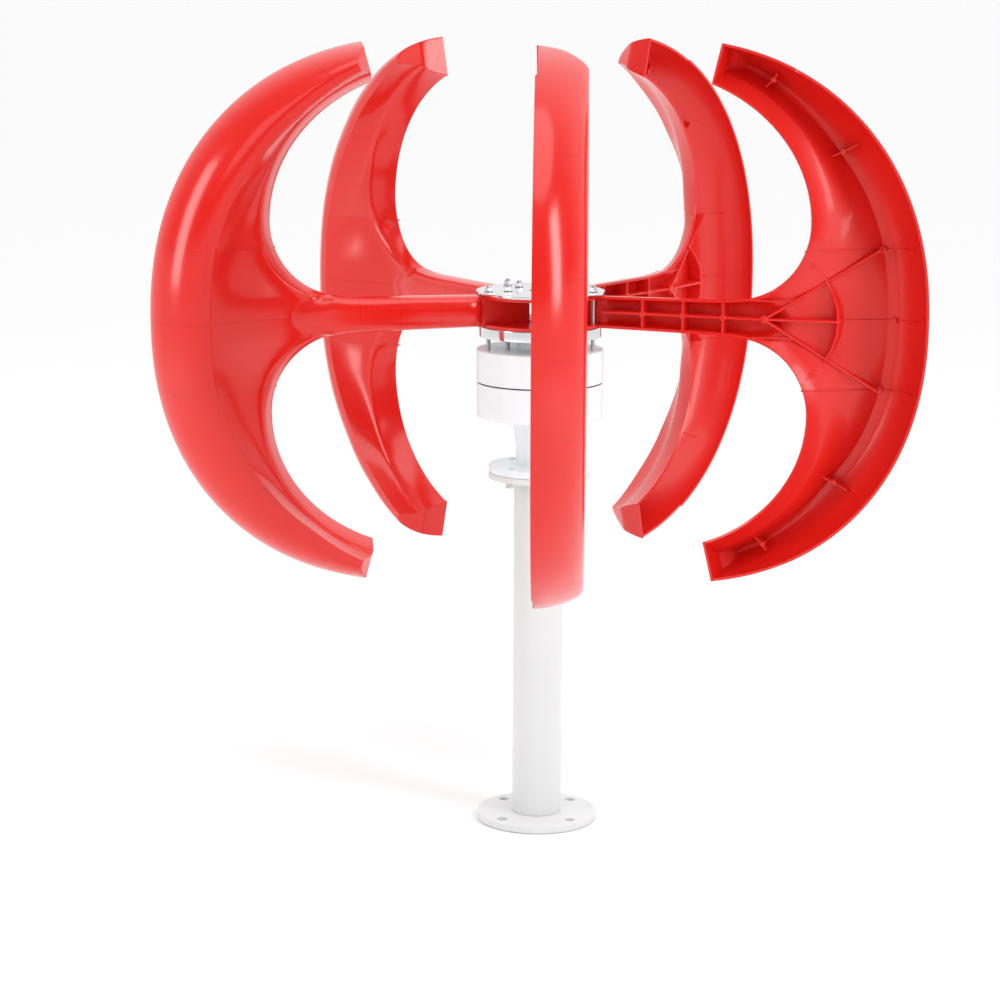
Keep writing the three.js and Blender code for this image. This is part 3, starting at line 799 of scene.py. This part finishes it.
# Polished stainless steel: a near-mirror with faint turning marks round the axis, 0.6 mm apart.
mirror_steel, tree, spot = material("stainless_steel_turned_and_polished")
marks = joined(
    tree, "ShaderNodeTexWave",
    {"wave_type": "RINGS", "rings_direction": "Z", "Scale": 500.0, "Distortion": 0.4, "Detail": 1.0},
    {"Vector": spot},
)
smear = joined(
    tree, "ShaderNodeTexNoise", {"Scale": 40.0, "Detail": 4.0, "Roughness": 0.6},
    {"Vector": spot},
)
steel_tone = joined(
    tree, "ShaderNodeMix", {"data_type": "RGBA", 6: colour("#D6D7DA"), 7: colour("#E9E9EC")},
    {0: smear.outputs[0]},
)
steel_rough = joined(
    tree, "ShaderNodeMapRange", {"To Min": 0.05, "To Max": 0.16}, {"Value": smear.outputs[0]}
)
steel_relief = joined(
    tree, "ShaderNodeBump", {"Strength": 0.06, "Distance": 0.0001}, {"Height": marks.outputs["Fac"]}
)
metal = joined(
    tree, "ShaderNodeBsdfPrincipled", {"Metallic": 1.0},
    {
        "Base Color": steel_tone.outputs[2], "Roughness": steel_rough.outputs["Result"],
        "Normal": steel_relief.outputs[0],
    },
)
joined(tree, "ShaderNodeOutputMaterial", {}, {"Surface": metal.outputs[0]})

DISC_HOLE_R, RING_BORE_R = 13, 7.4
disc_low, disc_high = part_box("hub_top_disc")
disc_r, disc_hole = disc_high.x, DISC_HOLE_R * MM
top_disc = piece(
    "hub_plate_upper",
    [
        turned(
            eased(
                [
                    (disc_hole, disc_low.z),
                    (disc_r, disc_low.z),
                    (disc_r, disc_high.z),
                    (disc_hole, disc_high.z),
                ],
                0.5 * MM,
            )
        )
    ],
)
ring_low, ring_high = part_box("hub_lower_disc")
ring_r, ring_bore = ring_high.x, RING_BORE_R * MM
lower_disc = piece(
    "hub_plate_lower",
    [
        turned(
            eased(
                [
                    (ring_bore, ring_low.z),
                    (ring_r, ring_low.z),
                    (ring_r, ring_high.z),
                    (ring_bore, ring_high.z),
                ],
                0.8 * MM,
            )
        )
    ],
)
for plate, node in ((top_disc, "hub_top_disc"), (lower_disc, "hub_lower_disc")):
    plate.data.materials.append(mirror_steel)
    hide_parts(node)
    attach(plate, "rotor")

# ---- Hub bolts
# Ten M5 studs with hex nuts and washers, two through each arm root, screwed down into the rotor
# cap below. Bright zinc plate on steel: slightly cloudy, with a fine crystalline mottle.
NUT_FLATS = 8.0
NUT_HIGH = 4.0
WASHER_R = 4.96
WASHER_THICK = 1
STUD_R = 2.5
CLEAR = 0.3  # between pieces that touch
CAP_THREAD = 20  # length of thread that shows above the rotor cap
THREAD_PITCH = 1.1  # an M5 thread's 0.8 mm is too fine to show
THREAD_DEPTH = 0.34
BOLT_CREASE = 28


def in_mm(box):
    """A box's two corners in millimetres."""
    return [np.array(corner) / MM for corner in box]


def hex_nut(x, y, base, top, flats, bore):
    """A hexagonal nut: radius is half the flats over the cosine of the angle from the nearest flat,
    and each end is chamfered at 30 degrees by how far that radius stands past the flats."""
    a = np.linspace(0, 2 * np.pi, 73)[:-1][:, None]
    hexagon = flats / 2 / np.cos((a + np.pi / 6) % (np.pi / 3) - np.pi / 6)
    chamfer = (hexagon - flats / 2 * 0.97) * math.tan(math.radians(30))
    one = np.ones_like(a)
    r = np.hstack(
        [bore * one, flats / 2 * 0.95 * one, hexagon, hexagon, flats / 2 * 0.95 * one]
        + [(bore + 0.4) * one, bore * one]
    )
    z = np.hstack(
        [base * one, base * one, base + chamfer * 0.6, top - chamfer, top * one]
        + [top * one, (top - 0.4) * one]
    )
    return patch(np.stack([x + r * np.cos(a), y + r * np.sin(a), z], -1), True, True)


def threaded_rod(x, y, low, high, radius, threads):
    """A stud: a helical thread cut where it is threaded, radius less a triangle wave of height minus
    turn, and plain elsewhere, with both ends chamfered and closed at the axis."""
    spans = [np.linspace(lo, hi, int((hi - lo) / 0.28) + 2) for lo, hi in threads]
    z = np.union1d(np.concatenate(spans), [low, low + 0.5, high - 0.5, high])
    a = np.linspace(0, 2 * np.pi, 21)[:-1][:, None]
    cut_here = sum((z >= lo) & (z <= hi) for lo, hi in threads)
    wave = np.abs(((z[None, :] / THREAD_PITCH - a / (2 * np.pi)) % 1) * 2 - 1)
    ends = np.minimum(np.clip(z - low, 0, 0.5), np.clip(high - z, 0, 0.5)) - 0.5
    r = radius - THREAD_DEPTH * wave * cut_here + ends[None, :] * 0.8
    body = np.stack([x + r * np.cos(a), y + r * np.sin(a), z + 0 * a], -1)
    caps = [
        np.stack([ring, np.broadcast_to(ring.mean(0), ring.shape)], 1)
        for ring in (body[:, 0], body[:, -1])
    ]
    return [patch(body, wrap_u=True)] + [patch(c, wrap_u=True) for c in caps]


def scaled(patches):
    """The same patches in metres."""
    return [(p * MM, q) for p, q in patches]


bright_zinc, tree, spot = material("steel_bright_zinc_plated")
crystals = joined(tree, "ShaderNodeTexVoronoi", {"Scale": 900.0}, {"Vector": spot})
haze = joined(
    tree, "ShaderNodeTexNoise", {"Scale": 220.0, "Detail": 3.0}, {"Vector": spot}
)
zinc_tone = joined(
    tree, "ShaderNodeMix", {"data_type": "RGBA", 6: colour("#A9ACB1"), 7: colour("#D9DBDE")},
    {0: haze.outputs[0]},
)
zinc_rough = joined(
    tree, "ShaderNodeMapRange", {"To Min": 0.22, "To Max": 0.38}, {"Value": crystals.outputs["Distance"]}
)
metal = joined(
    tree, "ShaderNodeBsdfPrincipled", {"Metallic": 1.0},
    {"Base Color": zinc_tone.outputs[2], "Roughness": zinc_rough.outputs["Result"]},
)
joined(tree, "ShaderNodeOutputMaterial", {}, {"Surface": metal.outputs[0]})

seat = disc_high.z / MM + CLEAR
nut_base = seat + WASHER_THICK
nut_top = nut_base + NUT_HIGH
washer = eased(
    [(STUD_R, seat), (WASHER_R, seat), (WASHER_R, nut_base), (STUD_R, nut_base)], 0.25
)
gap_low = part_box("rotor_cap")[1].z / MM - CAP_THREAD
for where in ("inner", "outer"):
    for i in range(1, BLADES + 1):
        node = f"hub_bolt_{where}_{i}"
        low, high = in_mm(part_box(node))
        x, y = (low + high)[:2] / 2
        threads = [(gap_low, gap_low + CAP_THREAD), (nut_top - 0.5, high[2] - 0.2)]
        parts = [turned(washer, x, y, 40)]
        parts.append(hex_nut(x, y, nut_base, nut_top, NUT_FLATS, STUD_R - 0.2))
        parts += threaded_rod(x, y, low[2], high[2], STUD_R, threads)
        stud = piece(f"hub_stud_{where}_{i}", scaled(parts), BOLT_CREASE)
        stud.data.materials.append(bright_zinc)
        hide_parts(node)
        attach(stud, "rotor")

# ---- Rotor cap
# The generator's upper housing, a cast and turned aluminium bell that turns with the blades. It
# has a centre boss up to the hub and soft edges under its white powder coat.
level = rotor_axis_z / MM
CAP_WALL_R, BOSS_R, CAP_BORE_R = 66, 26, 8.6
CAP_TOP, CAP_ROOF = level - 45, level - 57
cap_low, cap_high = in_mm(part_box("rotor_cap"))
cap_outline = [
    (CAP_WALL_R, cap_low[2]),
    (cap_high[0], cap_low[2]),
    (cap_high[0], CAP_TOP),
    (BOSS_R, CAP_TOP),
    (BOSS_R, cap_high[2]),
    (CAP_BORE_R, cap_high[2]),
    (CAP_BORE_R, CAP_ROOF),
    (CAP_WALL_R, CAP_ROOF),
]
cap_ease = [0.4, 0.8, 2.2, 2.5, 1.6, 0.8, 0.5, 1.5]
cap = piece("rotor_bell", scaled([turned(eased(cap_outline, cap_ease))]))

# White powder coat: near-white, semi-gloss, with the fine orange peel of melted powder, about
# 2 mm from crest to crest.
white_coat, tree, spot = material("white_powder_coat")
peel = joined(
    tree, "ShaderNodeTexNoise", {"Scale": 420.0, "Detail": 2.0}, {"Vector": spot}
)
dust = joined(
    tree, "ShaderNodeTexNoise", {"Scale": 14.0, "Detail": 3.0}, {"Vector": spot}
)
white = joined(
    tree, "ShaderNodeMix", {"data_type": "RGBA", 6: colour("#E9F2F5"), 7: colour("#EFF7F9")},
    {0: dust.outputs[0]},
)
coat_rough = joined(
    tree, "ShaderNodeMapRange", {"To Min": 0.24, "To Max": 0.36}, {"Value": dust.outputs[0]}
)
coat_relief = joined(
    tree, "ShaderNodeBump", {"Strength": 0.12, "Distance": 0.0002}, {"Height": peel.outputs[0]}
)
paint = joined(
    tree, "ShaderNodeBsdfPrincipled", {"IOR": 1.5},
    {
        "Base Color": white.outputs[2], "Roughness": coat_rough.outputs["Result"],
        "Normal": coat_relief.outputs[0],
    },
)
joined(tree, "ShaderNodeOutputMaterial", {}, {"Surface": paint.outputs[0]})
cap.data.materials.append(white_coat)
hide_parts("rotor_cap")
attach(cap, "rotor")


# ---- Generator housing
# The fixed lower half of the generator: a cast aluminium pot with a tapered neck and a round
# flange with four tapped holes, all one casting, powder coated white.
def holed_ring(inner, outer, low, high, hole, pitch, ease):
    """A flat ring with four holes. Each quarter is a grid from its hole's circle out to the quarter's
    edge, point matched to point by angle, for both faces; the hole walls and the eased rims close
    it."""
    steps = np.linspace(-np.pi / 4, np.pi / 4, 19)
    arc_out = np.stack([(outer - ease) * np.cos(steps), (outer - ease) * np.sin(steps)], -1)
    arc_in = np.stack([inner * np.cos(steps), inner * np.sin(steps)], -1)
    legs = np.linspace(0, 1, 11)[1:-1, None]
    loop = np.concatenate(
        [
            arc_out,
            arc_out[-1] + (arc_in[-1] - arc_out[-1]) * legs,
            arc_in[::-1],
            arc_in[0] + (arc_out[0] - arc_in[0]) * legs,
        ]
    )
    centre = np.array([pitch, 0.0])
    angle = np.arctan2(loop[:, 1], loop[:, 0] - pitch)
    circle = np.stack([np.cos(angle), np.sin(angle)], -1)
    mouth = centre + circle * (hole + 0.5)
    bore = centre + circle * hole
    share = np.linspace(0, 1, 7)[:, None, None]
    face = mouth + (loop - mouth) * share
    levels = [(mouth, high), (bore, high - 0.5), (bore, low + 0.5), (mouth, low)]
    wall = np.stack([np.column_stack([p, np.full(len(p), z)]) for p, z in levels])
    made = []
    for k in range(4):
        a = np.pi / 4 + k * np.pi / 2
        spin = np.array(
            [[math.cos(a), -math.sin(a), 0], [math.sin(a), math.cos(a), 0], [0, 0, 1]]
        )
        for z in (low, high):
            flat_face = np.concatenate([face, np.full((*face.shape[:2], 1), z)], -1)
            made.append(patch(flat_face @ spin.T, wrap_v=True))
        made.append(patch(wall @ spin.T, wrap_v=True))
        bend = np.linspace(0, np.pi / 2, 5)
        rim_r = outer - ease + ease * np.concatenate([np.sin(bend), np.cos(bend)])
        rim_z = np.concatenate(
            [high - ease + ease * np.cos(bend), low + ease - ease * np.sin(bend)]
        )
        rim = np.stack(
            [
                rim_r[:, None] * np.cos(steps),
                rim_r[:, None] * np.sin(steps),
                rim_z[:, None] + 0 * steps,
            ],
            -1,
        )
        made.append(patch(rim @ spin.T))
        throat = np.stack(
            [np.column_stack([arc_in, np.full(len(arc_in), z)]) for z in (low, high)]
        )
        made.append(patch(throat @ spin.T))
    return made


FLANGE_R, FLANGE_HOLE_R, FLANGE_HOLES_AT = 58.0, 4.5, 44.0
FLANGE_TOP = level - 179
POT_BORE_R, POST_R, POT_WALL_R = 17.9, 24, 65
POT_BOTTOM, POT_FLOOR, POT_TOP, POST_TOP = level - 123.6, level - 117, level - 83.6, level - 60
pot_low, pot_high = in_mm(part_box("generator_housing"))
pot_r = pot_high[0]
pot_outline = [
    (POT_BORE_R, FLANGE_TOP - 4),
    (26.5, FLANGE_TOP - 4),
    (26.2, FLANGE_TOP + 0.2),
    (26.4, FLANGE_TOP + 15),
    (31, POT_BOTTOM),
    (pot_r, POT_BOTTOM),
    (pot_r, POT_TOP),
    (POT_WALL_R, POT_TOP),
    (POT_WALL_R, POT_FLOOR),
    (POST_R, POT_FLOOR),
    (POST_R, POST_TOP),
    (POT_BORE_R, POST_TOP),
]
pot_ease = [0.5, 0.5, 1.0, 7.0, 2.5, 4.5, 0.8, 0.5, 2.0, 1.0, 0.6, 0.6]
neck_flange = holed_ring(
    POT_BORE_R, FLANGE_R, pot_low[2], FLANGE_TOP, FLANGE_HOLE_R, FLANGE_HOLES_AT, 1.2
)
pot = piece("generator_pot", scaled([turned(eased(pot_outline, pot_ease))] + neck_flange))
pot.data.materials.append(white_coat)
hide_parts("generator_housing")
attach(pot, "mast_and_generator")

# ---- Gap seal
# A black rubber ring in the running gap between the two halves of the generator. Moulded
# nitrile, matt, with a little bloom.
SEAL_BORE_R = 66
seal_low, seal_high = in_mm(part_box("gap_seal"))
seal_outline = [
    (SEAL_BORE_R, seal_low[2]),
    (seal_high[0], seal_low[2]),
    (seal_high[0], seal_high[2]),
    (SEAL_BORE_R, seal_high[2]),
]
seal = piece("running_gap_seal", scaled([turned(eased(seal_outline, 0.3))]))
black_rubber, tree, spot = material("nitrile_rubber_moulded")
bloom = joined(
    tree, "ShaderNodeTexNoise", {"Scale": 300.0, "Detail": 4.0}, {"Vector": spot}
)
black = joined(
    tree, "ShaderNodeMix", {"data_type": "RGBA", 6: colour("#0B0B0C"), 7: colour("#1C1C1E")},
    {0: bloom.outputs[0]},
)
rubber = joined(
    tree, "ShaderNodeBsdfPrincipled", {"Roughness": 0.75, "IOR": 1.5}, {"Base Color": black.outputs[2]}
)
joined(tree, "ShaderNodeOutputMaterial", {}, {"Surface": rubber.outputs[0]})
seal.data.materials.append(black_rubber)
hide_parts("gap_seal")
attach(seal, "mast_and_generator")

# ---- Mast
# A plain round steel tube with a drilled flange welded to each end, powder coated light grey.
# The coat is thicker and smoother than the generator's, with long soft waves.
mast_paint, tree, spot = material("light_grey_powder_coat")
peel = joined(
    tree, "ShaderNodeTexNoise", {"Scale": 300.0, "Detail": 2.0}, {"Vector": spot}
)
wash = joined(
    tree, "ShaderNodeTexNoise", {"Scale": 8.0, "Detail": 4.0, "Roughness": 0.55},
    {"Vector": spot},
)
grey = joined(
    tree, "ShaderNodeMix", {"data_type": "RGBA", 6: colour("#DCDEDE"), 7: colour("#E6E8E8")},
    {0: wash.outputs[0]},
)
mast_rough = joined(
    tree, "ShaderNodeMapRange", {"To Min": 0.36, "To Max": 0.5}, {"Value": wash.outputs[0]}
)
mast_relief = joined(
    tree, "ShaderNodeBump", {"Strength": 0.12, "Distance": 0.0002}, {"Height": peel.outputs[0]}
)
paint = joined(
    tree, "ShaderNodeBsdfPrincipled", {"IOR": 1.5},
    {
        "Base Color": grey.outputs[2], "Roughness": mast_rough.outputs["Result"],
        "Normal": mast_relief.outputs[0],
    },
)
joined(tree, "ShaderNodeOutputMaterial", {}, {"Surface": paint.outputs[0]})

MAST_R, MAST_BORE = 28.5, 25.5
CABLE_HOLE_R = 20.0
FOOT_R, FOOT_HOLE_R, FOOT_HOLES_AT = 70.0, 6.0, 55.0
tube_low, tube_high = in_mm(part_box("mast_tube"))
tube_outline = [
    (MAST_BORE, tube_low[2]),
    (MAST_R, tube_low[2]),
    (MAST_R, tube_high[2]),
    (MAST_BORE, tube_high[2]),
]
tube = piece("mast_pipe", scaled([turned(eased(tube_outline, 0.3))]))
top_low, top_high = in_mm(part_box("mast_top_flange"))
top_ring = holed_ring(
    CABLE_HOLE_R, FLANGE_R, top_low[2], top_high[2], FLANGE_HOLE_R, FLANGE_HOLES_AT, 1.0
)
top_flange = piece("mast_flange_upper", scaled(top_ring))
foot_low, foot_high = in_mm(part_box("mast_foot_flange"))
foot_ring = holed_ring(
    CABLE_HOLE_R, FOOT_R, foot_low[2], foot_high[2], FOOT_HOLE_R, FOOT_HOLES_AT, 1.0
)
foot_flange = piece("mast_flange_foot", scaled(foot_ring))
for made, node in (
    (tube, "mast_tube"),
    (top_flange, "mast_top_flange"),
    (foot_flange, "mast_foot_flange"),
):
    made.data.materials.append(mast_paint)
    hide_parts(node)
    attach(made, "mast_and_generator")

# ---- Flange bolts
# Four M8 hex screws that come up through the mast's flange into the generator's tapped holes,
# each with a washer under its head. Bright zinc plate, as on the hub.
SCREW_R, SCREW_FLATS, SCREW_WASHER_R = 4.0, 13.0, 8
seat = top_low[2] - CLEAR
head_top = seat - 1.4
washer = eased(
    [(SCREW_R, head_top), (SCREW_WASHER_R, head_top), (SCREW_WASHER_R, seat), (SCREW_R, seat)],
    0.3,
)
for i in range(1, 5):
    node = f"flange_bolt_{i}"
    low, high = in_mm(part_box(node))
    x, y = (low + high)[:2] / 2
    parts = [turned(washer, x, y, 40)]
    parts.append(hex_nut(x, y, low[2], head_top, SCREW_FLATS, 0.0))
    parts += threaded_rod(x, y, head_top, high[2], SCREW_R, [(seat, high[2] - 0.2)])
    screw = piece(f"flange_screw_{i}", scaled(parts), BOLT_CREASE)
    screw.data.materials.append(bright_zinc)
    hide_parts(node)
    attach(screw, "mast_and_generator")

# ---- Inside the generator
# Shaft, bearings, laminated core, windings and magnets keep their turned and stamped shapes.
# Each gets the finish it has in a real generator, though the housings hide them.
# The core's stamped sheets show as bands 0.6 mm apart.
lamination, tree, spot = material("electrical_steel_laminated")
layers = joined(
    tree, "ShaderNodeTexWave",
    {"wave_type": "BANDS", "bands_direction": "Z", "Scale": 500.0, "Distortion": 0.2},
    {"Vector": spot},
)
iron_tone = joined(
    tree, "ShaderNodeMix", {"data_type": "RGBA", 6: colour("#4A4D52"), 7: colour("#7C8086")},
    {0: layers.outputs["Fac"]},
)
iron = joined(
    tree, "ShaderNodeBsdfPrincipled", {"Metallic": 1.0, "Roughness": 0.5},
    {"Base Color": iron_tone.outputs[2]},
)
joined(tree, "ShaderNodeOutputMaterial", {}, {"Surface": iron.outputs[0]})

# Varnished copper wire, wound round the core: strands about 1 mm apart, their grooves cut in the bump and
# painted darker copper as shade.
copper, tree, spot = material("copper_wire_varnished")
strand_relief_and_painted_shade = joined(
    tree, "ShaderNodeTexWave",
    {"wave_type": "RINGS", "rings_direction": "Z", "Scale": 320.0, "Distortion": 1.5},
    {"Vector": spot},
)
# Painted shade: the copper goes dark where the bump is low, in the grooves between strands.
copper_with_painted_groove_shade = joined(
    tree, "ShaderNodeMix", {"data_type": "RGBA", 6: colour("#7A3D1C"), 7: colour("#C97B45")},
    {0: strand_relief_and_painted_shade.outputs["Fac"]},
)
copper_relief = joined(
    tree, "ShaderNodeBump", {"Strength": 0.6, "Distance": 0.0005}, {"Height": strand_relief_and_painted_shade.outputs["Fac"]}
)
wire = joined(
    tree, "ShaderNodeBsdfPrincipled", {"Metallic": 1.0, "Roughness": 0.35, "Coat Weight": 0.4},
    {"Base Color": copper_with_painted_groove_shade.outputs[2], "Normal": copper_relief.outputs[0]},
)
joined(tree, "ShaderNodeOutputMaterial", {}, {"Surface": wire.outputs[0]})

# Sintered ferrite: dark, dull and finely pitted, grains about 0.5 mm.
ferrite, tree, spot = material("ferrite_sintered")
grain = joined(
    tree, "ShaderNodeTexNoise", {"Scale": 1500.0, "Detail": 3.0}, {"Vector": spot}
)
ferrite_tone = joined(
    tree, "ShaderNodeMix", {"data_type": "RGBA", 6: colour("#1D1D20"), 7: colour("#3A3A3E")},
    {0: grain.outputs[0]},
)
ceramic = joined(
    tree, "ShaderNodeBsdfPrincipled", {"Roughness": 0.65, "IOR": 1.6},
    {"Base Color": ferrite_tone.outputs[2]},
)
joined(tree, "ShaderNodeOutputMaterial", {}, {"Surface": ceramic.outputs[0]})

inside_finish = {
    "stator_core": lamination,
    "rotor_back_iron": lamination,
    "winding_upper": copper,
    "winding_lower": copper,
    "magnet_ring": ferrite,
    "shaft": bright_zinc,
    "shaft_nut": bright_zinc,
    "shaft_retaining_ring": bright_zinc,
    "upper_bearing_outer_race": mirror_steel,
    "upper_bearing_inner_race": mirror_steel,
    "lower_bearing_outer_race": mirror_steel,
    "lower_bearing_inner_race": mirror_steel,
}
for name, finish in inside_finish.items():
    slots = frame["nodes"][name].data.materials
    if len(slots) == 0:
        slots.append(finish)
    for k in range(len(slots)):
        slots[k] = finish
